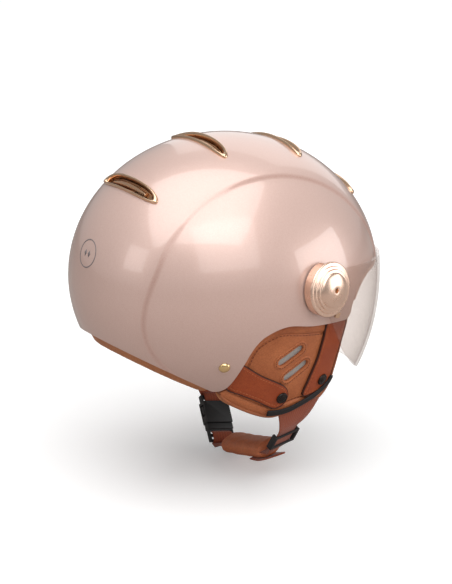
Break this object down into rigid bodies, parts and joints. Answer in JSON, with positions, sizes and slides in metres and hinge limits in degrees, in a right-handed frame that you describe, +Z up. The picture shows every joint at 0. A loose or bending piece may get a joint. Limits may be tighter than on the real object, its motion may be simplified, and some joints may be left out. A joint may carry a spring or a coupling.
{
  "type": "open face motorcycle helmet",
  "caption": "Open face riding helmet: egg-shaped painted shell with long vents, tilting clear bubble visor on round pivot caps, padded ear flaps and a buckled chin strap.",
  "frame": {"origin": "the place where the crown of the wearer's head touches the lining", "axes": "+Z up, -Y to the front (the way the wearer looks), +X to the wearer's left"},
  "size_m": [0.2414, 0.2689, 0.29],
  "materials": {
    "shell": "pearl paint under clear lacquer",
    "foam": "moulded beads, black",
    "lining": "brushed knit",
    "neck_roll": "fine grain",
    "trim": "satin",
    "vent_frame": "plated, polished",
    "vent_plate": "satin",
    "visor": "clear, polished",
    "bolts": "turned",
    "inserts": "turned",
    "rivets": "polished",
    "snaps": "dark bronze",
    "pivot_base": "satin",
    "cap": "plated, satin",
    "leather": "fine grain",
    "mesh": "open knit",
    "pad": "brushed knit",
    "strap_leather": "smooth",
    "band": "smooth",
    "webbing": "woven",
    "slider": "satin",
    "sleeve": "fine grain",
    "buckle": "moulded"
  },
  "bodies": {
    "shell": {"brow_band": "lining", "brow_trim": "trim", "buckle_plug": "buckle", "buckle_socket": "buckle", "chin_sleeve": "sleeve", "chin_webbing": "webbing", "crown_liner": "lining", "ear_flap_left": "leather", "ear_flap_right": "leather", "flap_band_left": "band", "flap_band_right": "band", "flap_binding_left": "leather", "flap_binding_right": "leather", "flap_mesh_left": "mesh", "flap_mesh_right": "mesh", "flap_pad_left": "pad", "flap_pad_right": "pad", "foam_liner": "foam", "front_strap_left": "strap_leather", "front_strap_right": "strap_leather", "left_webbing": "webbing", "neck_roll": "neck_roll", "outer_shell": "shell", "pivot_base_left": "pivot_base", "pivot_base_right": "pivot_base", "pivot_bolts": "bolts", "pivot_cap_left": "cap", "pivot_cap_right": "cap", "pivot_washers": "bolts", "rear_strap_left": "strap_leather", "rear_strap_right": "strap_leather", "rivet_washers": "bolts", "snap_studs": "snaps", "strap_rivets": "rivets", "strap_tail": "webbing", "thread_inserts": "inserts", "vent_bezel_1": "vent_frame", "vent_bezel_2": "vent_frame", "vent_bezel_3": "vent_frame", "vent_bezel_4": "vent_frame", "vent_insert_1": "vent_plate", "vent_insert_2": "vent_plate", "vent_insert_3": "vent_plate", "vent_insert_4": "vent_plate"},
    "visor": {"visor": "visor", "visor_tabs": "visor"},
    "slider": {"slider": "slider"},
    "prong_front": {"buckle_prong_front": "buckle"},
    "prong_rear": {"buckle_prong_rear": "buckle"}
  },
  "joints": [
    {"name": "visor_tilt", "type": "hinge", "parent": "shell", "child": "visor", "pos_m": [0, -0.025, -0.0754], "axis": [-1, 0, 0], "range_deg": [0, 45]},
    {"name": "slider_slide", "type": "slide", "parent": "shell", "child": "slider", "axis": [0.518, 0.0609, -0.8532], "range_m": [-0.003, 0.0015]},
    {"name": "prong_front_press", "type": "hinge", "parent": "shell", "child": "prong_front", "pos_m": [0.04516, -0.03067, -0.24061], "axis": [-0.7508, -0.0664, 0.6571], "range_deg": [0, 7], "stiffness_Nm_per_rad": 0.2},
    {"name": "prong_rear_press", "type": "hinge", "parent": "shell", "child": "prong_rear", "pos_m": [0.04614, -0.01653, -0.23807], "axis": [0.7508, 0.0664, -0.6571], "range_deg": [0, 7], "stiffness_Nm_per_rad": 0.2}
  ]
}
